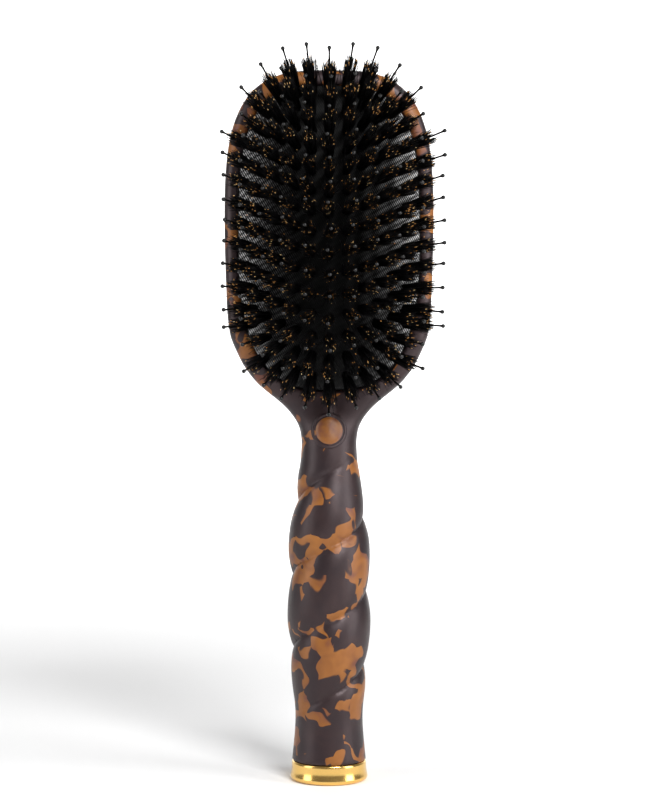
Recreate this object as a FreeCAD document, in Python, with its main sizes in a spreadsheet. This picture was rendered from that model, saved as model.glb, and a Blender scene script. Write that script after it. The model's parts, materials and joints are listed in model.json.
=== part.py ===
"""Vanity hairbrush: paddle head with an air-cushion pad, rope-twist handle and a polished base cap.

Frame: +Z runs up the handle to the top of the head, the bristles point along -Y, and the origin is
on the standing face of the base cap, on the axis of the handle.  Millimetres.
"""
import FreeCAD, Part
import math
import os
import Sketcher
from random import Random

from FreeCAD import Vector

SIZES = {
    # head
    "brush_height": 250.0,
    "head_half_width": 36.95,
    "head_widest_height": 195.0,
    "head_power": 3.2,
    "head_front": 6.0,
    "head_back": 8.0,
    "head_front_round": 3.8,
    "head_back_round": 7.0,
    "back_crown": 1.4,
    # recess and cushion
    "pad_centre_height": 190.35,
    "pad_half_width": 32.0,
    "pad_half_length": 53.65,
    "pad_power_top": 3.3,
    "pad_power_bottom": 2.75,
    "recess_depth": 10.5,
    "mouth_chamfer": 0.7,
    "pad_gap": 0.35,
    "pad_wall": 1.8,
    "pad_rise": 8.0,
    "dome_power": 2.4,
    "carrier_plate": 2.0,
    "carrier_rim_wall": 1.2,
    "carrier_rim_rise": 1.2,
    "glue_gap": 0.1,
    # tufts
    "row_pitch": 7.02,
    "row_sweep": 10.0,
    "outer_column": 26.0,
    "edge_margin": 3.2,
    "fan_across": 0.51,
    "fan_skew": 0.07,
    "fan_along": 0.22,
    "fan_along_edge": 0.38,
    "fan_along_fade": 0.45,
    "pin_length": 23.0,
    "pin_radius": 0.32,
    "ball_radius": 0.72,
    "ball_neck_radius": 0.48,
    "ball_neck_length": 1.5,
    "foot_radius": 1.7,
    "foot_thickness": 0.9,
    "foot_clearance": 0.25,
    "bundle_length": 16.0,
    "bundle_root_radius": 1.45,
    "bundle_tip_radius": 2.05,
    "fit_gap": 0.05,
    # handle
    "twist_lead": 51.6,
    "first_crease": 108.0,
    "crease_hurry": 0.37,
    "groove_depth": 2.0,
    "neck_front": 4.2,
    "neck_back": 6.2,
    # roundel on the neck
    "roundel_height": 122.7,
    "roundel_outer": 6.4,
    "roundel_inner": 5.1,
    "roundel_depth": 0.35,
    "roundel_reach": 8.0,
    # base cap
    "cap_height": 6.9,
    "cap_foot_radius": 13.6,
    "cap_seam_radius": 13.05,
    "cap_round": 1.6,
    "spigot_radius": 8.0,
    "spigot_length": 12.0,
}

ROW_COUNT = 15
COLUMNS_EACH_SIDE = 5
COLUMN_SPREAD = 0.93
SWEEP_POWER = 1.5
SMALL_STEP = 0.1
MOST_STEPS_IN = 25
RIM_CHECKS = 24
WOBBLE = 0.03

OUTLINE_POINTS = 48
SECTION_POINTS = 48
SECTION_STEP = 2.4
HEAD_TOP_STEPS = 12
TWIST_BEGINS = (24.0, 36.0)
TWIST_ENDS = (98.0, 114.0)
NECK_FLATTENS = (116.0, 141.0)
NECK_TOP = NECK_FLATTENS[1]
CREASE_SHARPNESS = 0.7
RIM_RUN = 20.0
BEYOND = 1.0
HALVINGS = 40
SEW_TOLERANCE = 1e-6
DOME_SHARES = [0.985, 0.95, 0.88, 0.78, 0.65, 0.5, 0.35, 0.2, 0.08]

doc = FreeCAD.newDocument("vanity_hairbrush")
sheet = doc.addObject("Spreadsheet::Sheet", "sizes")
for row, (name, value) in enumerate(SIZES.items(), start=1):
    sheet.set(f"A{row}", name)
    sheet.set(f"B{row}", str(value))
    sheet.setAlias(f"B{row}", name)
doc.recompute()


def size(name):
    """The value of a driving dimension in the spreadsheet."""
    return float(sheet.get(name))


def shape_object(name, shape):
    """A document object that holds a shape made by Part's own functions."""
    item = doc.addObject("Part::Feature", name)
    item.Shape = shape
    item.Placement = FreeCAD.Placement()
    return item


def closed_spline(points):
    curve = Part.BSplineCurve()
    curve.interpolate(points, PeriodicFlag=True)
    return Part.Wire([curve.toShape()])


# ---------------------------------------------------------------- outlines


def superellipse(half_width, half_length, power, angle):
    """A point of a superellipse about the origin, as (across, along)."""
    cosine, sine = math.cos(angle), math.sin(angle)
    across = half_width * math.copysign(abs(cosine) ** (2 / power), cosine)
    along = half_length * math.copysign(abs(sine) ** (2 / power), sine)
    return across, along


def pad_power(along):
    """The power of the pad's outline: squarer above its middle than below it."""
    return size("pad_power_top") if along > 0 else size("pad_power_bottom")


def pad_wire(inset, depth, shrink=1.0):
    """The pad's outline, drawn in by inset and then scaled by shrink, in the plane Y = depth."""
    width = (size("pad_half_width") - inset) * shrink
    length = (size("pad_half_length") - inset) * shrink
    points = []
    for step in range(OUTLINE_POINTS):
        angle = 2 * math.pi * step / OUTLINE_POINTS
        across, along = superellipse(width, length, pad_power(math.sin(angle)), angle)
        points.append(Vector(across, depth, size("pad_centre_height") + along))
    return closed_spline(points)


# half width, height, from the head's side down to the neck
SHOULDER = [
    (36.2, 169.5),
    (34.5, 154.9),
    (30.9, 146.2),
    (24.2, 137.9),
    (16.6, 131.9),
    (12.1, 126.7),
    (8.6, 119.0),
]


def head_outline():
    """The head seen from the front: a superellipse above its widest line, shoulders down to the neck."""
    wide, widest = size("head_half_width"), size("head_widest_height")
    rise = size("brush_height") - widest
    top = []
    for step in range(HEAD_TOP_STEPS + 1):
        across, along = superellipse(wide, rise, size("head_power"), math.pi / 2 * step / HEAD_TOP_STEPS)
        top.append((across, widest + along))
    right = top[::-1] + SHOULDER
    left = [(-across, height) for across, height in reversed(right[1:])]
    points = [Vector(across, -size("head_front"), height) for across, height in left + right]
    curve = Part.BSplineCurve()
    curve.interpolate(points)
    foot = Part.LineSegment(points[-1], points[0])
    return Part.Face(Part.Wire([curve.toShape(), foot.toShape()]))


# ---------------------------------------------------------------- handle and neck

# height, radius of the crests
CREST_PROFILE = [
    (6.9, 13.05),
    (14.0, 12.35),
    (24.0, 11.9),
    (33.0, 13.0),
    (43.0, 14.1),
    (57.0, 14.75),
    (72.0, 14.6),
    (84.0, 14.4),
    (95.0, 13.2),
    (104.0, 11.5),
    (113.0, 10.3),
    (120.0, 10.1),
    (130.0, 11.2),
    (141.0, 12.5),
]


def smooth(start, end, value):
    """0 before start, 1 after end, and an even curve between them."""
    share = min(max((value - start) / (end - start), 0.0), 1.0)
    return share * share * (3 - 2 * share)


def crest_curve():
    """The crest profile as a curve, X the height and Y the radius."""
    curve = Part.BSplineCurve()
    curve.interpolate([Vector(height, radius, 0) for height, radius in CREST_PROFILE])
    return curve


def curve_value(curve, wanted):
    """The Y of a curve where its X, which only grows, equals wanted."""
    low, high = curve.FirstParameter, curve.LastParameter
    for _ in range(HALVINGS):
        middle = (low + high) / 2
        if curve.value(middle).x < wanted:
            low = middle
        else:
            high = middle
    return curve.value(low).y


def groove_share(angle, height):
    """How deep the twist's creases cut at an angle about the axis, 1 in a crease and 0 on a crest.

    The angle is 0 at the front and grows towards the left.  Two creases wind round the handle.
    """
    half_lead = size("twist_lead") / 2
    turn = math.pi * (size("first_crease") - height) / half_lead
    deepest = 0.0
    for start in (0, 1):
        phase = turn + start * math.pi
        crease = phase + size("crease_hurry") * math.sin(phase)
        away = abs((angle - crease + math.pi) % (2 * math.pi) - math.pi)
        deepest = max(deepest, 1 - math.sin(min(away, math.pi / 2)) ** CREASE_SHARPNESS)
    return deepest


def section_points(height, radius, inset=0.0):
    """The points round one section of the handle or the neck."""
    twisted = smooth(*TWIST_BEGINS, height) * (1 - smooth(*TWIST_ENDS, height))
    flattened = smooth(*NECK_FLATTENS, height)
    points = []
    for step in range(SECTION_POINTS):
        angle = 2 * math.pi * step / SECTION_POINTS
        reach = radius - inset - size("groove_depth") * twisted * groove_share(angle, height)
        front = reach + (size("neck_front") - inset - reach) * flattened
        back = reach + (size("neck_back") - inset - reach) * flattened
        side = -math.cos(angle) * (front if math.cos(angle) > 0 else back)
        points.append(Vector(-math.sin(angle) * reach, side, height))
    return points


def handle_solid(low, high, step, inset=0.0):
    """The handle and neck between two heights: one smooth surface, closed by flat ends."""
    crests = crest_curve()
    count = round((high - low) / step)
    rings = []
    for index in range(count + 1):
        height = low + (high - low) * index / count
        rings.append(section_points(height, curve_value(crests, height), inset))
    around = list(range(SECTION_POINTS + 1))
    along = list(range(len(rings) - 2))
    surface = Part.BSplineSurface()
    surface.buildFromPolesMultsKnots(
        rings,
        [4] + [1] * (len(along) - 2) + [4],
        [1] * len(around),
        along,
        around,
        False,
        True,
        3,
        3,
    )
    skin = surface.toShape()
    ends = [Part.Face(Part.Wire([edge])) for edge in skin.Edges if edge.isClosed()]
    shell = Part.Shell([skin] + ends)
    shell.sewShape()
    solid = Part.Solid(shell)
    solid.fix(SEW_TOLERANCE, SEW_TOLERANCE, SEW_TOLERANCE)
    if solid.Volume < 0:
        solid.reverse()
    return solid


# ---------------------------------------------------------------- brush body


def head_blank():
    """The plate of the head with a crowned back and rounded edges, before the recess is cut."""
    front, back = size("head_front"), size("head_back")
    half, edge = size("head_half_width") + BEYOND, back - size("back_crown")
    corners = [Vector(-half, -front, 0), Vector(half, -front, 0)]
    corners += [Vector(half, edge, 0), Vector(-half, edge, 0)]
    crown = Part.Arc(corners[2], Vector(0, back, 0), corners[3])
    sides = [
        Part.LineSegment(corners[3], corners[0]),
        Part.LineSegment(corners[0], corners[1]),
        Part.LineSegment(corners[1], corners[2]),
    ]
    profile = Part.Face(Part.Wire([side.toShape() for side in sides + [crown]]))
    crowned = profile.extrude(Vector(0, 0, size("brush_height") + BEYOND))
    blank = head_outline().extrude(Vector(0, front + back, 0)).common(crowned)
    rim_edges = [item for item in blank.Edges if item.BoundBox.ZLength > RIM_RUN]
    front_edges = [item for item in rim_edges if item.BoundBox.YMax < BEYOND - front]
    blank = blank.makeFillet(size("head_front_round"), front_edges)
    rim_edges = [item for item in blank.Edges if item.BoundBox.ZLength > RIM_RUN]
    back_edges = [item for item in rim_edges if item.BoundBox.YMin > edge - BEYOND]
    return blank.makeFillet(size("head_back_round"), back_edges)


def make_recess():
    """The pocket for the cushion, from in front of the head back to its floor."""
    mouth = shape_object("recess_mouth", Part.Face(pad_wire(0, -size("head_front"))))
    recess = doc.addObject("Part::Extrusion", "recess")
    recess.Base = mouth
    recess.Dir = Vector(0, 1, 0)
    recess.Solid = True
    recess.setExpression("LengthFwd", "sizes.recess_depth")
    recess.setExpression("LengthRev", "sizes.head_front")
    return recess


def make_mouth_chamfer():
    """A small chamfer round the recess where it meets the front of the head."""
    chamfer, front = size("mouth_chamfer"), -size("head_front")
    wires = [pad_wire(-2 * chamfer, front - chamfer), pad_wire(0, front + chamfer)]
    return shape_object("mouth_chamfer", Part.makeLoft(wires, True, True))


def make_cap_bore():
    bore = doc.addObject("Part::Cylinder", "cap_bore")
    bore.setExpression("Radius", "sizes.spigot_radius + sizes.fit_gap")
    bore.setExpression("Height", "sizes.cap_height + sizes.spigot_length + sizes.glue_gap")
    return bore


def make_roundel_groove():
    """A plain ring sunk into the front of the neck to an even depth."""
    centre = Vector(0, -size("head_front"), size("roundel_height"))
    disc = Part.makeCylinder(size("roundel_outer"), size("roundel_reach"), centre, Vector(0, -1, 0))
    middle = Part.makeCylinder(size("roundel_inner"), size("roundel_reach"), centre, Vector(0, -1, 0))
    core = handle_solid(size("cap_height"), NECK_TOP, SECTION_STEP, size("roundel_depth"))
    return shape_object("roundel_groove", disc.cut(middle).cut(core))


def make_brush_body():
    """Head, neck and handle in one moulding, with the cushion's recess and the cap's bore."""
    moulding = doc.addObject("Part::Fuse", "moulding")
    moulding.Base = shape_object("head_blank", head_blank())
    moulding.Tool = shape_object("twisted_handle", handle_solid(size("cap_height"), NECK_TOP, SECTION_STEP))
    hollows = doc.addObject("Part::MultiFuse", "hollows")
    hollows.Shapes = [make_recess(), make_mouth_chamfer(), make_cap_bore(), make_roundel_groove()]
    body = doc.addObject("Part::Cut", "brush_body")
    body.Base = moulding
    body.Tool = hollows
    return body


# ---------------------------------------------------------------- base cap


def make_base_cap():
    """A turned cap: rounded foot, slight taper up to the seam, and a spigot for the handle's bore."""
    body = doc.addObject("PartDesign::Body", "base_cap")
    plane = next(item for item in body.Origin.OriginFeatures if item.Role == "XZ_Plane")
    sketch = body.newObject("Sketcher::SketchObject", "cap_profile")
    sketch.AttachmentSupport = [(plane, "")]
    sketch.MapMode = "FlatFace"
    corners = [
        ("cap_foot_radius", None),
        ("cap_seam_radius", "cap_height"),
        ("spigot_radius", "cap_height"),
        ("spigot_radius", "cap_height + sizes.spigot_length"),
    ]
    seam, top = size("cap_height"), size("cap_height") + size("spigot_length")
    foot, waist, spigot = size("cap_foot_radius"), size("cap_seam_radius"), size("spigot_radius")
    points = [Vector(0, 0, 0), Vector(foot, 0, 0), Vector(waist, seam, 0)]
    points += [Vector(spigot, seam, 0), Vector(spigot, top, 0), Vector(0, top, 0)]
    for start, end in zip(points, points[1:] + points[:1]):
        sketch.addGeometry(Part.LineSegment(start, end), False)
    last = len(points) - 1
    for index in range(last):
        sketch.addConstraint(Sketcher.Constraint("Coincident", index, 2, index + 1, 1))
    sketch.addConstraint(Sketcher.Constraint("Coincident", last, 2, 0, 1))
    sketch.addConstraint(Sketcher.Constraint("Coincident", 0, 1, -1, 1))
    sketch.addConstraint(Sketcher.Constraint("Horizontal", 0))
    sketch.addConstraint(Sketcher.Constraint("Vertical", last))
    sketch.addConstraint(Sketcher.Constraint("Horizontal", last - 1))
    for index, (across, up) in enumerate(corners):
        place = points[index + 1]
        driving = sketch.addConstraint(Sketcher.Constraint("DistanceX", -1, 1, index, 2, place.x))
        sketch.setExpression(f"Constraints[{driving}]", f"sizes.{across}")
        if up:
            driving = sketch.addConstraint(Sketcher.Constraint("DistanceY", -1, 1, index, 2, place.y))
            sketch.setExpression(f"Constraints[{driving}]", f"sizes.{up}")
    turned = body.newObject("PartDesign::Revolution", "turned_cap")
    turned.Profile = sketch
    turned.ReferenceAxis = (sketch, ["V_Axis"])
    turned.Angle = 360
    doc.recompute()
    foot_edges = [
        f"Edge{number}"
        for number, edge in enumerate(turned.Shape.Edges, start=1)
        if edge.BoundBox.ZMax < SEW_TOLERANCE and edge.Length > foot
    ]
    rounded = body.newObject("PartDesign::Fillet", "rounded_foot")
    rounded.Base = (turned, foot_edges)
    rounded.setExpression("Radius", "sizes.cap_round")
    return body


# ---------------------------------------------------------------- cushion


def dome_height(share):
    """How far the pad stands out in front of the head, share being 0 at its middle and 1 at its edge."""
    return size("pad_rise") * (1 - share ** size("dome_power"))


def dome_solid(inset, sink, foot):
    """The pad's dome, drawn in by inset and sunk by sink, down to the plane Y = foot."""
    front = -size("head_front") + sink
    wires = [pad_wire(inset, foot), pad_wire(inset, front)]
    dome = [pad_wire(inset, front)]
    for share in DOME_SHARES:
        dome.append(pad_wire(inset, front - dome_height(share), share))
    top = Part.makeLoft(dome, True, False)
    skirt = Part.makeLoft(wires, True, True)
    return top.fuse(skirt).removeSplitter()


def make_cushion_pad(tufts):
    """The rubber pad: a dome with a skirt round the carrier's rim and a hole for every tuft."""
    floor = size("recess_depth") - size("head_front") - size("carrier_plate")
    outside = dome_solid(size("pad_gap"), 0, floor - size("fit_gap"))
    inside = dome_solid(size("pad_gap") + size("pad_wall"), size("pad_wall"), floor + BEYOND)
    pad = outside.cut(inside)
    hole = size("bundle_root_radius") + size("fit_gap")
    reach = size("pad_rise")
    holes = [Part.makeCylinder(hole, 2 * reach, root - axis * reach, axis) for root, axis, depth in tufts]
    return shape_object("cushion_pad", pad.cut(Part.Compound(holes)))


def extruded_outline(name, inset, low, thickness):
    """A plate with the pad's outline, from the plane Y = low backwards."""
    plate = doc.addObject("Part::Extrusion", name)
    plate.Base = shape_object(name + "_outline", Part.Face(pad_wire(inset, low)))
    plate.Dir = Vector(0, 1, 0)
    plate.Solid = True
    plate.setExpression("LengthFwd", thickness)
    return plate


def make_pad_carrier():
    """The tray behind the pad: a plate glued in the recess, with a rim inside the pad's skirt."""
    floor = size("recess_depth") - size("head_front") - size("carrier_plate")
    rim_inset = size("pad_gap") + size("pad_wall") + size("glue_gap")
    rim_front = floor - size("carrier_rim_rise")
    plate = extruded_outline("carrier_plate", size("glue_gap"), floor, "sizes.carrier_plate")
    rim = extruded_outline("carrier_rim", rim_inset, rim_front, "sizes.carrier_rim_rise + sizes.glue_gap")
    well_inset = rim_inset + size("carrier_rim_wall")
    well = extruded_outline("carrier_well", well_inset, rim_front, "sizes.carrier_rim_rise")
    solid = doc.addObject("Part::Fuse", "carrier_solid")
    solid.Base = plate
    solid.Tool = rim
    carrier = doc.addObject("Part::Cut", "pad_carrier")
    carrier.Base = solid
    carrier.Tool = well
    return carrier


# ---------------------------------------------------------------- tufts


def pad_share(across, height, inset=0.0):
    """0 at the middle of the pad and 1 at its edge, drawn in by inset."""
    power = pad_power(height - size("pad_centre_height"))
    wide = abs(across) / (size("pad_half_width") - inset)
    tall = abs(height - size("pad_centre_height")) / (size("pad_half_length") - inset)
    return (wide ** power + tall ** power) ** (1 / power)


def drawn_inside(across, height):
    """The height moved towards the pad's middle until it clears the edge, or None where that is too far."""
    inwards = math.copysign(SMALL_STEP, size("pad_centre_height") - height)
    for step in range(MOST_STEPS_IN):
        if pad_share(across, height + inwards * step, size("edge_margin")) <= 1:
            return height + inwards * step
    return None


def tuft_axis(out, up, wobble):
    """The way a tuft points, out and up being its place on the pad from -1 to 1."""
    along = size("fan_along") * up + size("fan_along_edge") * up ** 3 * abs(up)
    along *= 1 - size("fan_along_fade") * out ** 2
    across = size("fan_across") * out + size("fan_skew") * out ** 2
    across += wobble.uniform(-WOBBLE, WOBBLE)
    along += wobble.uniform(-WOBBLE, WOBBLE)
    axis = Vector(math.sin(across), -math.cos(across) * math.cos(along), math.sin(along))
    return axis.normalize()


def inner_face(across, height):
    """How far back the pad's inner face lies behind a point, or None where its skirt begins."""
    share = pad_share(across, height, size("pad_gap") + size("pad_wall"))
    if share > DOME_SHARES[0]:
        return None
    return size("pad_wall") - size("head_front") - dome_height(share)


def foot_clears(root, axis, depth):
    """Whether the front of a pin's foot, all round its rim, lies behind the pad's inner face."""
    middle = root - axis * depth
    side = axis.cross(Vector(0, 0, 1)).normalize() * size("foot_radius")
    other = axis.cross(side)
    for step in range(RIM_CHECKS):
        angle = 2 * math.pi * step / RIM_CHECKS
        spot = middle + side * math.cos(angle) + other * math.sin(angle)
        face = inner_face(spot.x, spot.z)
        if face is None or spot.y < face + size("foot_clearance"):
            return False
    return True


def foot_depth(root, axis):
    """How far under the pad's outer face the foot of a pin lies: more where the pad slopes away."""
    depth = size("pad_wall") + size("foot_clearance")
    while not foot_clears(root, axis, depth):
        depth += SMALL_STEP
        if depth > size("pad_rise"):
            raise RuntimeError(f"no room for a pin's foot at {root}")
    return depth


def tuft_places():
    """Rows of tufts from the top down, each a list of (root, axis, depth of the foot)."""
    wobble = Random(11)
    outer, centre = size("outer_column"), size("pad_centre_height")
    half_run = size("row_pitch") * (ROW_COUNT - 1) / 2
    rows = []
    for row in range(ROW_COUNT):
        places = []
        for column in range(-COLUMNS_EACH_SIDE, COLUMNS_EACH_SIDE + 1):
            share = abs(column) / COLUMNS_EACH_SIDE
            across = math.copysign(outer * share ** COLUMN_SPREAD, column)
            lift = size("row_sweep") * (abs(across) / outer) ** SWEEP_POWER
            height = drawn_inside(across, centre + half_run - size("row_pitch") * row + lift)
            if height is None:
                continue
            axis = tuft_axis(across / outer, (height - centre) / half_run, wobble)
            rise = dome_height(pad_share(across, height, size("pad_gap")))
            root = Vector(across, -size("head_front") - rise, height)
            places.append((root, axis, foot_depth(root, axis)))
        rows.append(places)
    return rows


def stand(shape, root, axis):
    """Turn a shape made along +Z so that it stands on root along axis."""
    shape.Placement = FreeCAD.Placement(root, FreeCAD.Rotation(Vector(0, 0, 1), axis))
    return shape


def pin_solid(depth):
    """A nylon pin along +Z: foot under the pad, slim stem, and a ball tip on a short tapered neck."""
    stem, ball, foot = size("pin_radius"), size("ball_radius"), size("foot_radius")
    tip, neck = size("pin_length"), size("ball_neck_radius")
    base = -depth - size("foot_thickness")
    collar = tip - math.sqrt(ball**2 - neck**2)
    corners = [Vector(0, 0, base), Vector(foot, 0, base), Vector(foot, 0, -depth), Vector(stem, 0, -depth)]
    corners.append(Vector(stem, 0, collar - size("ball_neck_length")))
    corners.append(Vector(neck, 0, collar))
    lines = [Part.LineSegment(start, end) for start, end in zip(corners, corners[1:])]
    ball_arc = Part.Arc(corners[-1], Vector(ball, 0, tip), Vector(0, 0, tip + ball))
    axis_line = Part.LineSegment(Vector(0, 0, tip + ball), corners[0])
    profile = Part.Face(Part.Wire([item.toShape() for item in lines + [ball_arc, axis_line]]))
    return profile.revolve(Vector(0, 0, 0), Vector(0, 0, 1), 360)


def bundle_solid(depth):
    """A bundle of bristles along +Z, as one sleeve round the pin that widens towards its tip."""
    bore = size("pin_radius") + size("fit_gap")
    root, tip = size("bundle_root_radius"), size("bundle_tip_radius")
    low, high = size("fit_gap") - depth, size("bundle_length")
    corners = [Vector(bore, 0, low), Vector(root, 0, low), Vector(root, 0, 1), Vector(tip, 0, high)]
    corners.append(Vector(bore, 0, high))
    lines = [Part.LineSegment(start, end) for start, end in zip(corners, corners[1:] + corners[:1])]
    profile = Part.Face(Part.Wire([item.toShape() for item in lines]))
    return profile.revolve(Vector(0, 0, 0), Vector(0, 0, 1), 360)


def make_rows(rows):
    """One group of pins and one group of bristle bundles for every row."""
    made = []
    for number, places in enumerate(rows, start=1):
        pins = [stand(pin_solid(depth), root, axis) for root, axis, depth in places]
        bundles = [stand(bundle_solid(depth), root, axis) for root, axis, depth in places]
        made.append(shape_object(f"ball_pins_row_{number:02d}", Part.Compound(pins)))
        made.append(shape_object(f"bristle_tufts_row_{number:02d}", Part.Compound(bundles)))
    return made


# ---------------------------------------------------------------- assembly

tuft_rows = tuft_places()
every_tuft = [place for places in tuft_rows for place in places]
sub_parts = [make_brush_body(), make_base_cap(), make_pad_carrier(), make_cushion_pad(every_tuft)]
sub_parts += make_rows(tuft_rows)
doc.recompute()

for item in doc.Objects:
    if {"Invalid", "Error"} & set(item.State):
        raise RuntimeError(f"{item.Name} did not compute: {item.State}")
for part in sub_parts:
    part.Label = part.Name
    if part.Shape.isNull() or not part.Shape.isValid():
        raise RuntimeError(f"{part.Label} has no valid shape")

os.makedirs("parts", exist_ok=True)
for part in sub_parts:
    part.Shape.exportStep(f"parts/{part.Label}.step")
    print(part.Label, len(part.Shape.Solids), "solids", round(part.Shape.Volume, 1), "mm3")
print(len(every_tuft), "tufts")
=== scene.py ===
import json
import math

import bpy
import numpy as np
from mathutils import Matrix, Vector
from mathutils.bvhtree import BVHTree


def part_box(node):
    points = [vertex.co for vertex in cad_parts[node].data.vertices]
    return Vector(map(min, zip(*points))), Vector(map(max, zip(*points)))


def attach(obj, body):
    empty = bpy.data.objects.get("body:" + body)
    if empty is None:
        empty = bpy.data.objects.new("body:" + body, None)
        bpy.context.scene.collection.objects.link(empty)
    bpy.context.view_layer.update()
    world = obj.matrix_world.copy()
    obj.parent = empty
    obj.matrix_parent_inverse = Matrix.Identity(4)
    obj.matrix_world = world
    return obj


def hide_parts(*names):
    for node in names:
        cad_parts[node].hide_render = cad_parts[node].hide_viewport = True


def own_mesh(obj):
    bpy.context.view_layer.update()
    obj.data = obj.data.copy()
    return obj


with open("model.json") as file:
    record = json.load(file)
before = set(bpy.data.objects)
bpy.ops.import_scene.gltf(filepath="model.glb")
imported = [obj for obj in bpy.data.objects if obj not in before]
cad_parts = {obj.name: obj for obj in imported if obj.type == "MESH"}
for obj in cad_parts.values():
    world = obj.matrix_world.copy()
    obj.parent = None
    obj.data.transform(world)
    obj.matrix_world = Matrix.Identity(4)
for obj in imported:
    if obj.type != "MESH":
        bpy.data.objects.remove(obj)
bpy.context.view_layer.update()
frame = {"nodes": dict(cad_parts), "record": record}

MM = 0.001
NODES = sorted(item["node"] for item in frame["record"]["subparts"])
PIN_NODES = [name for name in NODES if name.startswith("ball_pins")]
TUFT_NODES = [name for name in NODES if name.startswith("bristle_tufts")]

# outline and dome of the pad, as in the CAD
PAD_POWER_TOP, PAD_POWER_BOTTOM, DOME_POWER = 3.3, 2.75, 2.4
PAD_WALL = 1.8 * MM
HEAD_FRONT = -6.0 * MM

# the twist of the handle, as in the CAD
TWIST_LEAD, FIRST_CREASE, CREASE_HURRY = 51.6 * MM, 108.0 * MM, 0.37

# the tufts and the roundel on the neck, as in the CAD
BUNDLE_LENGTH = 16.0 * MM
ROUNDEL_HEIGHT = 122.7 * MM


# ---------------------------------------------------------------- node helpers


def new_material(name):
    """A material with an empty tree and its Principled shader."""
    material = bpy.data.materials.new(name)
    material.use_nodes = True
    tree = material.node_tree
    return material, tree, tree.nodes["Principled BSDF"]


def add(tree, kind, inputs=None, **settings):
    """A node with its settings and its inputs, each a value or another node's output."""
    node = tree.nodes.new(kind)
    for name, value in settings.items():
        setattr(node, name, value)
    for key, value in (inputs or {}).items():
        if isinstance(value, bpy.types.NodeSocket):
            tree.links.new(value, node.inputs[key])
        else:
            node.inputs[key].default_value = value
    return node


def ramp(tree, fac, stops):
    """A colour ramp; stops are (position, colour) with the colour linear RGB or one grey number."""
    node = add(tree, "ShaderNodeValToRGB", {"Fac": fac})
    marks = node.color_ramp.elements
    while len(marks) < len(stops):
        marks.new(0.5)
    for mark, (position, colour) in zip(marks, stops):
        mark.position = position
        rgb = (colour,) * 3 if isinstance(colour, (int, float)) else colour
        mark.color = (*rgb, 1)
    return node.outputs["Color"]


def mix(tree, fac, first, second):
    """Two colours mixed by a factor; each colour is linear RGB or another node's output."""
    node = add(tree, "ShaderNodeMix", data_type="RGBA")
    for socket, value in ((0, fac), (6, first), (7, second)):
        if isinstance(value, bpy.types.NodeSocket):
            tree.links.new(value, node.inputs[socket])
        else:
            node.inputs[socket].default_value = (*value, 1)
    return node.outputs[2]


def maths(tree, operation, first, second=0.0):
    """The result of a Math node."""
    node = add(tree, "ShaderNodeMath", {0: first, 1: second}, operation=operation)
    return node.outputs[0]


def vector(tree, operation, first, second):
    """The result of a Vector Math node."""
    node = add(tree, "ShaderNodeVectorMath", {0: first, 1: second}, operation=operation)
    return node.outputs["Value" if operation == "DOT_PRODUCT" else "Vector"]


def place(tree):
    """Object coordinates in metres."""
    return add(tree, "ShaderNodeTexCoord").outputs["Object"]


def stripes(tree, where, direction, pitch):
    """An even wave from 0 to 1 across a direction."""
    along = vector(tree, "DOT_PRODUCT", where, direction)
    wave = maths(tree, "SINE", maths(tree, "MULTIPLY", along, 2 * math.pi / pitch))
    return maths(tree, "ADD", maths(tree, "MULTIPLY", wave, 0.5), 0.5)


def bump(tree, shader, height, strength, distance):
    node = add(tree, "ShaderNodeBump", {"Height": height, "Strength": strength, "Distance": distance})
    tree.links.new(node.outputs[0], shader.inputs["Normal"])


# ---------------------------------------------------------------- materials

DARK = (0.0090, 0.0042, 0.0055)
DARK_WARM = (0.0200, 0.0092, 0.0090)
BROWN = (0.120, 0.036, 0.018)
AMBER = (0.200, 0.068, 0.009)
HONEY = (0.280, 0.104, 0.016)
SHEEN = (1.0, 0.84, 0.86, 1)
# how far out from the middle of the pad the painted sheen on the rubber threads reaches full brightness
PAINTED_SHEEN_REACH = 32 * MM


def tortoiseshell():
    """Satin tortoiseshell plastic: near-black brown with angular amber patches joined by thin necks."""
    material, tree, shader = new_material("tortoiseshell_plastic")
    where = place(tree)
    wander = add(tree, "ShaderNodeTexNoise", {"Vector": where, "Scale": 120, "Detail": 1}).outputs["Color"]
    push = vector(tree, "MULTIPLY", vector(tree, "SUBTRACT", wander, (0.5, 0.5, 0.5)), (0.009,) * 3)
    bent = vector(tree, "ADD", where, push)
    cells = add(tree, "ShaderNodeTexVoronoi", {"Vector": bent, "Scale": 165}).outputs["Position"]
    half = (0.5,) * 3
    smooth_half = vector(tree, "MULTIPLY", bent, half)
    cell_half = vector(tree, "MULTIPLY", cells, half)
    faceted = vector(tree, "ADD", smooth_half, cell_half)
    broad = add(tree, "ShaderNodeTexNoise", {"Vector": faceted, "Scale": 108, "Detail": 0.6}).outputs["Fac"]
    strings = maths(tree, "ABSOLUTE", maths(tree, "SUBTRACT", broad, 0.5))
    sparse = add(tree, "ShaderNodeTexNoise", {"Vector": faceted, "Scale": 78, "Detail": 0.5}).outputs["Fac"]
    level = maths(tree, "SUBTRACT", maths(tree, "MULTIPLY", sparse, 0.55), strings)
    patch = ramp(tree, level, [(0.245, 0.0), (0.253, 1.0)])
    clouds = add(tree, "ShaderNodeTexNoise", {"Vector": bent, "Scale": 110, "Detail": 2}).outputs["Fac"]
    warm = ramp(tree, clouds, [(0.36, BROWN), (0.46, AMBER), (0.68, HONEY)])
    shade = ramp(tree, clouds, [(0.35, DARK), (0.75, DARK_WARM)])
    tree.links.new(mix(tree, patch, shade, warm), shader.inputs["Base Color"])
    fine = add(tree, "ShaderNodeTexNoise", {"Vector": where, "Scale": 1500, "Detail": 2}).outputs["Fac"]
    bump(tree, shader, fine, 0.05, 0.0001)
    rough = ramp(tree, fine, [(0.3, 0.40), (0.7, 0.46)])
    tree.links.new(rough, shader.inputs["Roughness"])
    shader.inputs["Specular Tint"].default_value = SHEEN
    return material


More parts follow.
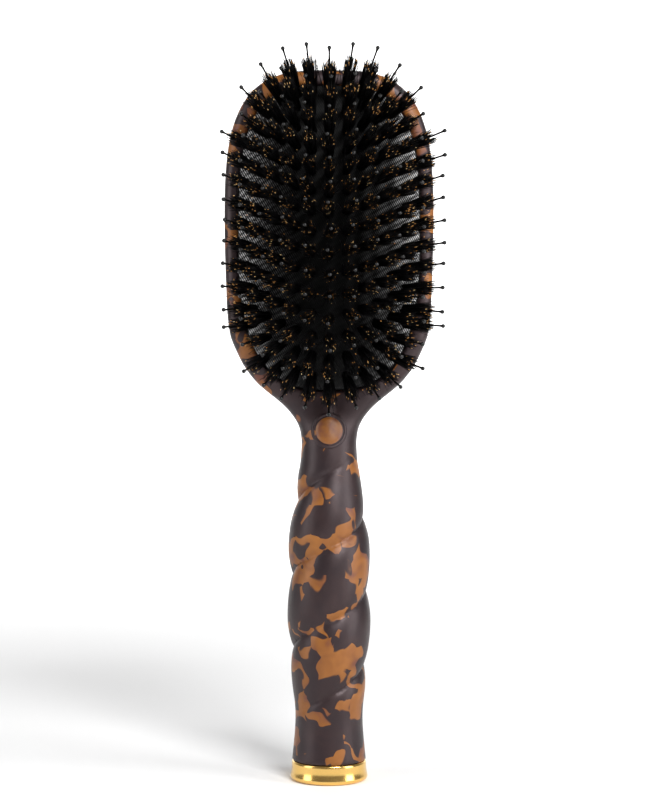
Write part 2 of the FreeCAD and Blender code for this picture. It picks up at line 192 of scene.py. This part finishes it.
def roundel_amber():
    """The amber of the disc on the neck, mottled like the patches."""
    material, tree, shader = new_material("roundel_amber")
    where = place(tree)
    clouds = add(tree, "ShaderNodeTexNoise", {"Vector": where, "Scale": 260, "Detail": 2}).outputs["Fac"]
    tree.links.new(ramp(tree, clouds, [(0.3, BROWN), (0.55, AMBER)]), shader.inputs["Base Color"])
    shader.inputs["Roughness"].default_value = 0.42
    return material


def roundel_dark():
    """The dark brown of the ring round the disc."""
    material, tree, shader = new_material("roundel_dark_brown")
    where = place(tree)
    clouds = add(tree, "ShaderNodeTexNoise", {"Vector": where, "Scale": 600, "Detail": 2}).outputs["Fac"]
    tree.links.new(ramp(tree, clouds, [(0.3, DARK), (0.7, DARK_WARM)]), shader.inputs["Base Color"])
    shader.inputs["Roughness"].default_value = 0.45
    shader.inputs["Specular Tint"].default_value = SHEEN
    return material


def gold():
    """Polished gold plate with the faint rings left by turning."""
    material, tree, shader = new_material("polished_gold")
    shader.inputs["Base Color"].default_value = (0.83, 0.53, 0.16, 1)
    shader.inputs["Metallic"].default_value = 1.0
    where = vector(tree, "MULTIPLY", place(tree), (1, 1, 18))
    drawn = add(tree, "ShaderNodeTexNoise", {"Vector": where, "Scale": 350, "Detail": 3}).outputs["Fac"]
    tree.links.new(ramp(tree, drawn, [(0.3, 0.15), (0.7, 0.22)]), shader.inputs["Roughness"])
    return material


def rubber():
    """Black rubber moulded with a fine diagonal twill; its threads carry painted shade in the middle of the
    pad and a painted sheen towards the sides.
    """
    material, tree, shader = new_material("woven_black_rubber")
    where = place(tree)
    threads = stripes(tree, where, (0.87, 0, 0.5), 0.68 * MM)
    dashes = stripes(tree, where, (-0.5, 0, 0.87), 1.9 * MM)
    weave = maths(tree, "MULTIPLY", threads, maths(tree, "ADD", maths(tree, "MULTIPLY", dashes, 0.5), 0.5))
    # Painted light: the threads are coloured near black in the middle of the pad as painted shade under the
    # tufts, and grey towards the left and right edges as a painted sheen from the side lamps.
    aside = maths(tree, "ABSOLUTE", add(tree, "ShaderNodeSeparateXYZ", {0: where}).outputs["X"])
    aside = maths(tree, "MULTIPLY", aside, 1 / PAINTED_SHEEN_REACH)
    painted_sheen = ramp(tree, aside, [(0.3, 0.004), (0.6, 0.12), (0.9, 0.60)])
    lit = ramp(tree, weave, [(0.35, 0.0), (0.75, 1.0)])
    tree.links.new(mix(tree, lit, (0.002, 0.002, 0.002), painted_sheen), shader.inputs["Base Color"])
    tree.links.new(ramp(tree, weave, [(0.2, 0.8), (0.8, 0.5)]), shader.inputs["Roughness"])
    shader.inputs["Specular IOR Level"].default_value = 0.2
    bump(tree, shader, weave, 0.6, 0.00015)
    return material


def nylon():
    """Black nylon, glossy at the ball tips."""
    material, tree, shader = new_material("black_nylon")
    tint = add(tree, "ShaderNodeTexNoise", {"Vector": place(tree), "Scale": 300}).outputs["Fac"]
    tree.links.new(ramp(tree, tint, [(0.3, 0.002), (0.7, 0.005)]), shader.inputs["Base Color"])
    tree.links.new(ramp(tree, tint, [(0.3, 0.10), (0.7, 0.16)]), shader.inputs["Roughness"])
    shader.inputs["Specular IOR Level"].default_value = 0.35
    return material


def bristle():
    """Black bristles, some of them golden brown at the very end."""
    material, tree, shader = new_material("bristle_hair")
    along = add(tree, "ShaderNodeAttribute", attribute_name="along").outputs["Fac"]
    kind = add(tree, "ShaderNodeAttribute", attribute_name="kind").outputs["Fac"]
    copper, straw = (0.72, 0.34, 0.10), (1.0, 0.74, 0.36)
    tip = ramp(tree, kind, [(0.0, straw), (0.045, copper), (0.085, copper), (0.095, 0.004)])
    share = ramp(tree, along, [(0.953, 0.0), (0.962, 1.0)])
    tree.links.new(mix(tree, share, (0.004, 0.0035, 0.004), tip), shader.inputs["Base Color"])
    shader.inputs["Roughness"].default_value = 0.6
    shader.inputs["Specular IOR Level"].default_value = 0.12
    return material


def black_plastic():
    """Black plastic with a fine moulded grain."""
    material, tree, shader = new_material("black_moulded_plastic")
    grain = add(tree, "ShaderNodeTexNoise", {"Vector": place(tree), "Scale": 1200}).outputs["Fac"]
    bump(tree, shader, grain, 0.1, 0.0001)
    tree.links.new(ramp(tree, grain, [(0.3, 0.01), (0.7, 0.02)]), shader.inputs["Base Color"])
    shader.inputs["Roughness"].default_value = 0.6
    return material


# ---------------------------------------------------------------- pieces


def dress(node, material):
    """Give a CAD node its finish."""
    mesh = frame["nodes"][node].data
    mesh.materials.clear()
    mesh.materials.append(material)


def new_piece(name, vertices, faces, material, body):
    """A smooth-shaded mesh that rides on a body."""
    mesh = bpy.data.meshes.new(name)
    mesh.from_pydata([tuple(point) for point in vertices], [], faces)
    mesh.validate()
    mesh.materials.append(material)
    mesh.shade_smooth()
    piece = bpy.data.objects.new(name, mesh)
    bpy.context.scene.collection.objects.link(piece)
    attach(piece, body)
    return piece


def islands(node):
    """The vertices of each separate solid in a node."""
    mesh = frame["nodes"][node].data
    spots = np.array([vertex.co for vertex in mesh.vertices])
    keys = [tuple(key) for key in np.round(spots / 1e-6).astype(int)]
    parent = {key: key for key in keys}

    def top(key):
        while parent[key] != key:
            parent[key] = parent[parent[key]]
            key = parent[key]
        return key

    for edge in mesh.edges:
        first, second = (top(keys[index]) for index in edge.vertices)
        parent[first] = second
    groups = {}
    for key, spot in zip(keys, spots):
        groups.setdefault(top(key), []).append(spot)
    return [np.array(group) for group in groups.values()]


def tufts(node):
    """Root, direction and length of each bundle in a node."""
    found = []
    for spots in islands(node):
        middle = spots.mean(axis=0)
        axis = np.linalg.svd(spots - middle, full_matrices=False)[2][0]
        axis = axis if axis[1] < 0 else -axis
        reach = (spots - middle) @ axis
        root = middle + axis * reach.min()
        found.append((Vector(root), Vector(axis), float(reach.max() - reach.min())))
    return sorted(found, key=lambda item: item[0].x)


RING_SHARES = np.array([0.0, 0.35, 0.7, 0.94, 1.0])
STRANDS, CORNERS = 150, 3
ROOT_SPREAD = 1.4
STRAY_CHANCE, STRAY_SPREAD = 0.05, 1.9
SHORT_CHANCE = 0.3


def strand_points(root, axis, length, dice):
    """The points of one tuft's strands, as (strand, ring, corner, xyz)."""
    side = axis.cross(Vector((0, 0, 1))).normalized()
    other = np.array(axis.cross(side))
    root, axis, side = np.array(root), np.array(axis), np.array(side)
    angle = dice.uniform(0, 2 * math.pi, STRANDS)
    start = ROOT_SPREAD * np.sqrt(dice.random(STRANDS)) * MM
    stray = np.where(dice.random(STRANDS) < STRAY_CHANCE, STRAY_SPREAD, 1.0)
    end = start * dice.uniform(1.35, 2.1, STRANDS) * stray + 0.2 * MM
    shorter = np.where(dice.random(STRANDS) < SHORT_CHANCE, dice.uniform(0.5, 3.5, STRANDS), 0.0)
    reach = length - (shorter + dice.uniform(-0.5, 0.9, STRANDS)) * MM
    swirl = dice.normal(0, 0.22, STRANDS)
    thick = dice.uniform(0.09, 0.13, STRANDS) * MM
    points = np.empty((STRANDS, len(RING_SHARES), CORNERS, 3))
    for ring, t in enumerate(RING_SHARES):
        spread, turn = start + (end - start) * t**1.4, angle + swirl * t
        middle = root + np.outer(spread * np.cos(turn), side) + np.outer(spread * np.sin(turn), other)
        middle = middle + np.outer(reach * t, axis)
        for corner in range(CORNERS):
            around = corner * 2 * math.pi / CORNERS + angle
            width = thick * (1 - 0.2 * t)
            out = np.outer(width * np.cos(around), side) + np.outer(width * np.sin(around), other)
            points[:, ring, corner] = middle + out
    return points


def strand_faces(count):
    """The faces of count strands whose points are in the order of strand_points."""
    rings, faces = len(RING_SHARES), []
    for strand in range(count):
        base = strand * rings * CORNERS
        for ring in range(1, rings):
            low, high = base + CORNERS * (ring - 1), base + CORNERS * ring
            for corner in range(CORNERS):
                after = (corner + 1) % CORNERS
                faces.append((low + corner, low + after, high + after, high + corner))
        last = base + CORNERS * (rings - 1)
        faces.append((base + 2, base + 1, base))
        faces.append((last, last + 1, last + 2))
    return faces


def bristle_row(node, number, material):
    """The loose bristles of one row of tufts, each a thin three-sided tube."""
    dice = np.random.default_rng(number)
    bundles = [strand_points(root, axis, length, dice) for root, axis, length in tufts(node)]
    points = np.concatenate(bundles)
    count = len(points)
    name = f"bristles_row_{number:02d}"
    piece = new_piece(name, points.reshape(-1, 3), strand_faces(count), material, "cushion")
    along = np.broadcast_to(RING_SHARES[None, :, None], points.shape[:3])
    kind = np.broadcast_to(dice.random(count)[:, None, None], points.shape[:3])
    for label, values in (("along", along), ("kind", kind)):
        layer = piece.data.attributes.new(label, "FLOAT", "POINT")
        layer.data.foreach_set("value", np.ascontiguousarray(values, dtype=np.float32).ravel())
    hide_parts(node)


# radius and height of the cap's profile in millimetres: rounded foot, flare, upright side, rounded top edge
CAP_PROFILE = [
    (11.9, 0.0), (12.4, 0.08), (12.9, 0.30), (13.3, 0.62), (13.53, 1.0), (13.6, 1.4), (13.56, 1.7),
    (13.44, 2.2), (13.33, 2.7), (13.24, 3.2), (13.18, 3.7), (13.14, 4.2), (13.12, 4.8), (13.11, 5.5),
    (13.09, 6.05), (13.02, 6.4), (12.86, 6.68), (12.6, 6.84), (12.3, 6.88),
]
CAP_STEPS = 160


def cap(material):
    """The turned gold cap, closed underneath by its standing face and above by the seam."""
    points = [(0.0, 0.0, 0.0)]
    for radius, height in CAP_PROFILE:
        for step in range(CAP_STEPS):
            angle = 2 * math.pi * step / CAP_STEPS
            points.append((radius * MM * math.cos(angle), radius * MM * math.sin(angle), height * MM))
    points.append((0.0, 0.0, CAP_PROFILE[-1][1] * MM))
    faces = []
    last = 1 + (len(CAP_PROFILE) - 1) * CAP_STEPS
    for step in range(CAP_STEPS):
        after = (step + 1) % CAP_STEPS
        faces.append((0, 1 + after, 1 + step))
        faces.append((last + step, last + after, len(points) - 1))
        for ring in range(len(CAP_PROFILE) - 1):
            low, high = 1 + ring * CAP_STEPS, 1 + (ring + 1) * CAP_STEPS
            faces.append((low + step, low + after, high + after, high + step))
    piece = new_piece("gold_base_cap", points, faces, material, "brush")
    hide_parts("base_cap")


PAD_RINGS, PAD_STEPS = 64, 288
NUB_HEIGHT, NUB_REACH = 0.45 * MM, 2.0 * MM


def pad_shell(half_width, half_length, front, rise, centre, nubs):
    """The points of one face of the pad, ring by ring from its middle to its edge."""
    angles = 2 * math.pi * np.arange(PAD_STEPS) / PAD_STEPS
    cosine, sine = np.cos(angles), np.sin(angles)
    power = np.where(sine > 0, PAD_POWER_TOP, PAD_POWER_BOTTOM)
    across = half_width * np.sign(cosine) * np.abs(cosine) ** (2 / power)
    along = half_length * np.sign(sine) * np.abs(sine) ** (2 / power)
    share = (np.arange(PAD_RINGS) + 1) / PAD_RINGS
    x, z = np.outer(share, across).ravel(), centre + np.outer(share, along).ravel()
    y = front - rise * (1 - np.repeat(share, PAD_STEPS) ** DOME_POWER)
    x, y, z = np.append(x, 0.0), np.append(y, front - rise), np.append(z, centre)
    for root in nubs:
        away = np.hypot(x - root[0], z - root[2])
        y -= NUB_HEIGHT * np.exp(-((away / NUB_REACH) ** 4))
    return np.stack([x, y, z], axis=1)


def pad_faces(base, flip):
    """The faces of a pad_shell whose points begin at base."""
    faces = []
    middle = base + PAD_RINGS * PAD_STEPS
    for step in range(PAD_STEPS):
        after = (step + 1) % PAD_STEPS
        faces.append((middle, base + step, base + after))
        for ring in range(1, PAD_RINGS):
            low, high = base + (ring - 1) * PAD_STEPS, base + ring * PAD_STEPS
            faces.append((low + step, high + step, high + after, low + after))
    return [face[::-1] for face in faces] if flip else faces


def cushion(material):
    """The rubber pad: a dome with a nub round every tuft, and a skirt that reaches back to the carrier."""
    low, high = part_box("cushion_pad")
    half_width, half_length = (high[0] - low[0]) / 2, (high[2] - low[2]) / 2
    centre, rise = (high[2] + low[2]) / 2, HEAD_FRONT - low[1]
    roots = []
    for node in TUFT_NODES:
        roots += [root + axis * (length - BUNDLE_LENGTH) for root, axis, length in tufts(node)]
    outer = pad_shell(half_width, half_length, HEAD_FRONT, rise, centre, roots)
    inner = pad_shell(half_width - PAD_WALL, half_length - PAD_WALL, HEAD_FRONT + PAD_WALL, rise, centre, [])
    count, rim = len(outer), (PAD_RINGS - 1) * PAD_STEPS
    outer_foot, inner_foot = outer[rim:-1].copy(), inner[rim:-1].copy()
    outer_foot[:, 1] = inner_foot[:, 1] = high[1]
    points = np.concatenate([outer, inner, outer_foot, inner_foot])
    faces = pad_faces(0, False) + pad_faces(count, True)
    loops = [rim, 2 * count, 2 * count + PAD_STEPS, count + rim]
    for first, second in zip(loops, loops[1:]):
        for step in range(PAD_STEPS):
            after = (step + 1) % PAD_STEPS
            faces.append((first + step, second + step, second + after, first + after))
    piece = new_piece("rubber_cushion", points, faces, material, "brush")
    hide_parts("cushion_pad")
    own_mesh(piece)


VOXEL = 0.72 * MM
NECK_LOW, NECK_HIGH, NECK_FADE = 113.0 * MM, 150.0 * MM, 6.0 * MM
TWIST_LOW, TWIST_HIGH, TWIST_FADE = 30.0 * MM, 106.0 * MM, 8.0 * MM
CREASE_DEPTH, CREASE_WIDTH = 1.0 * MM, 1.4 * MM
RELAX_SHARE, RELAX_ROUNDS = 0.6, 60
PAD_CLEAR = 1.03
HANDLE_CORE = 10 * MM


def window(values, low, high, fade):
    """1 between low and high, falling evenly to 0 over fade outside them."""
    share = np.clip(np.minimum(values - low, high - values) / fade + 1, 0, 1)
    return share * share * (3 - 2 * share)


def relax(points, edges, weight, rounds):
    """Move each point towards the mean of its neighbours by its weight."""
    first, second = edges[:, 0], edges[:, 1]
    count = len(points)
    links = np.bincount(first, minlength=count) + np.bincount(second, minlength=count)
    for _ in range(rounds):
        mean = np.empty_like(points)
        for way in range(3):
            total = np.bincount(first, points[second, way], count)
            total += np.bincount(second, points[first, way], count)
            mean[:, way] = total / links
        points = points + (mean - points) * weight[:, None]
    return points


def crease_depth(points):
    """How far the twist's creases cut in at each point of the handle."""
    angle = np.arctan2(-points[:, 0], -points[:, 1])
    turn = 2 * math.pi * (FIRST_CREASE - points[:, 2]) / TWIST_LEAD
    nearest = np.full(len(points), math.pi)
    for start in (0, math.pi):
        phase = turn + start
        crease = phase + CREASE_HURRY * np.sin(phase)
        nearest = np.minimum(nearest, np.abs((angle - crease + math.pi) % (2 * math.pi) - math.pi))
    reach = np.hypot(points[:, 0], points[:, 1])
    depth = CREASE_DEPTH * np.exp(-nearest * reach / CREASE_WIDTH)
    return depth * window(points[:, 2], TWIST_LOW, TWIST_HIGH, TWIST_FADE)


def moulding(material):
    """The brush body on an even mesh, with the neck blended into the head and crisp creases in the twist."""
    piece = bpy.data.objects.new("brush_moulding", frame["nodes"]["brush_body"].data.copy())
    bpy.context.scene.collection.objects.link(piece)
    remesh = piece.modifiers.new("even_mesh", "REMESH")
    remesh.mode = "VOXEL"
    remesh.voxel_size = VOXEL
    bpy.context.view_layer.update()
    shape = piece.evaluated_get(bpy.context.evaluated_depsgraph_get())
    mesh = bpy.data.meshes.new_from_object(shape)
    piece.modifiers.clear()
    piece.data = mesh
    points = np.empty(len(mesh.vertices) * 3)
    mesh.vertices.foreach_get("co", points)
    points = points.reshape(-1, 3)
    edges = np.empty(len(mesh.edges) * 2, dtype=np.int32)
    mesh.edges.foreach_get("vertices", edges)
    low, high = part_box("cushion_pad")
    across = np.abs(points[:, 0]) / (high[0] - low[0]) * 2
    along = np.abs(points[:, 2] - (high[2] + low[2]) / 2) / (high[2] - low[2]) * 2
    outside = (across**PAD_POWER_BOTTOM + along**PAD_POWER_BOTTOM) ** (1 / PAD_POWER_BOTTOM) > PAD_CLEAR
    weight = window(points[:, 2], NECK_LOW, NECK_HIGH, NECK_FADE) * outside
    points = relax(points, edges.reshape(-1, 2), RELAX_SHARE * weight, RELAX_ROUNDS)
    inwards = points * (1, 1, 0)
    inwards /= np.maximum(np.linalg.norm(inwards, axis=1), MM)[:, None]
    outer_skin = np.hypot(points[:, 0], points[:, 1]) > HANDLE_CORE
    points = points - inwards * (crease_depth(points) * outer_skin)[:, None]
    mesh.vertices.foreach_set("co", points.ravel())
    mesh.materials.clear()
    mesh.materials.append(material)
    mesh.shade_smooth()
    mesh.update()
    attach(piece, "brush")
    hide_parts("brush_body")
    return piece


# radius and lift above the neck, in millimetres, from the middle outwards
ROUNDEL_DISC = [(0.0, 0.16), (1.7, 0.16), (3.4, 0.15), (4.6, 0.12), (5.0, -0.3)]
ROUNDEL_RING = [(5.1, -0.3), (5.25, 0.16), (5.75, 0.26), (6.25, 0.16), (6.4, -0.3)]
ROUNDEL_STEPS = 96


def roundel(body, disc_finish, ring_finish):
    """A plain domed disc and a dark ring let into the front of the neck."""
    tree = BVHTree.FromPolygons([v.co for v in body.data.vertices], [p.vertices for p in body.data.polygons])
    for name, profile, material in (
        ("neck_roundel_disc", ROUNDEL_DISC, disc_finish),
        ("neck_roundel_ring", ROUNDEL_RING, ring_finish),
    ):
        points, faces = [], []
        for radius, rise in profile:
            for step in range(ROUNDEL_STEPS):
                angle = 2 * math.pi * step / ROUNDEL_STEPS
                x, z = radius * MM * math.cos(angle), ROUNDEL_HEIGHT + radius * MM * math.sin(angle)
                spot = tree.ray_cast(Vector((x, -40 * MM, z)), Vector((0, 1, 0)))[0]
                points.append((x, spot.y - rise * MM, z))
        for ring in range(len(profile) - 1):
            for step in range(ROUNDEL_STEPS):
                after = (step + 1) % ROUNDEL_STEPS
                low, high = ring * ROUNDEL_STEPS, (ring + 1) * ROUNDEL_STEPS
                faces.append((low + step, high + step, high + after, low + after))
        new_piece(name, points, faces, material, "brush")


# ---------------------------------------------------------------- build

body_finish = tortoiseshell()
rubber_finish = rubber()
nylon_finish = nylon()
hair_finish = bristle()
body = moulding(body_finish)
roundel(body, roundel_amber(), roundel_dark())
cap(gold())
dress("pad_carrier", black_plastic())
cushion(rubber_finish)
for name in PIN_NODES:
    dress(name, nylon_finish)
for count, name in enumerate(TUFT_NODES, start=1):
    bristle_row(name, count, hair_finish)


# ---------------------------------------------------------------- floor, light and camera


def soft_light(name, spot, target, width, height, power):
    """A rectangular lamp at a spot, turned to a target."""
    lamp = bpy.data.lights.new(name, "AREA")
    lamp.shape = "RECTANGLE"
    lamp.size, lamp.size_y = width, height
    lamp.energy = power
    thing = bpy.data.objects.new(name, lamp)
    thing.location = spot
    thing.rotation_euler = (Vector(target) - Vector(spot)).to_track_quat("-Z", "Y").to_euler()
    bpy.context.scene.collection.objects.link(thing)


def studio_floor():
    """A white sheet that lies under the brush and sweeps up behind it."""
    depth, sweep, width = 1.2, 0.8, 6.0
    profile = [(-3.0, 0.0), (depth, 0.0)]
    for step in range(1, 13):
        angle = math.pi / 2 * step / 12
        profile.append((depth + sweep * math.sin(angle), sweep * (1 - math.cos(angle))))
    profile.append((depth + sweep, 5.0))
    vertices = [(side * width, y, z) for y, z in profile for side in (-1, 1)]
    faces = [(2 * i, 2 * i + 1, 2 * i + 3, 2 * i + 2) for i in range(len(profile) - 1)]
    mesh = bpy.data.meshes.new("studio_sheet")
    mesh.from_pydata(vertices, [], faces)
    mesh.shade_smooth()
    material, _, shader = new_material("white_sheet")
    shader.inputs["Base Color"].default_value = (0.96, 0.96, 0.96, 1)
    shader.inputs["Roughness"].default_value = 1.0
    shader.inputs["Specular IOR Level"].default_value = 0.0
    mesh.materials.append(material)
    sheet = bpy.data.objects.new("studio_sheet", mesh)
    bpy.context.scene.collection.objects.link(sheet)


BRUSH_MIDDLE = (0, 0, 0.125)
# name, place, target, width, height and watts of each lamp
LIGHTS = [
    ("left_softbox", (-0.80, -0.32, 0.30), BRUSH_MIDDLE, 0.4, 0.9, 3.6),
    ("right_softbox", (0.80, -0.38, 0.30), BRUSH_MIDDLE, 0.4, 0.9, 6.0),
    ("key_softbox", (0.42, -0.95, 0.85), BRUSH_MIDDLE, 0.45, 0.45, 14),
    ("backdrop_softbox", (0.0, 1.1, 1.2), (0, 2.0, 0.4), 2.6, 0.6, 34),
]

studio_floor()
for light in LIGHTS:
    soft_light(*light)

world = bpy.data.worlds.new("studio")
world.use_nodes = True
world.node_tree.nodes["Background"].inputs["Color"].default_value = (1, 1, 1, 1)
world.node_tree.nodes["Background"].inputs["Strength"].default_value = 0.22
bpy.context.scene.world = world
bpy.context.scene.view_settings.view_transform = "Standard"

CAMERA_DISTANCE, CAMERA_HEIGHT, CAMERA_SIDE = 0.595, 0.125, -0.0023
LENS, LOOK_UP = 93.9, math.radians(0.70)
camera_data = bpy.data.cameras.new("camera")
camera_data.sensor_fit = "HORIZONTAL"
camera_data.sensor_width = 36
camera_data.lens = LENS
camera = bpy.data.objects.new("camera", camera_data)
camera.location = (CAMERA_SIDE, -CAMERA_DISTANCE, CAMERA_HEIGHT)
camera.rotation_euler = (math.pi / 2 + LOOK_UP, 0, 0)
bpy.context.scene.collection.objects.link(camera)
bpy.context.scene.camera = camera
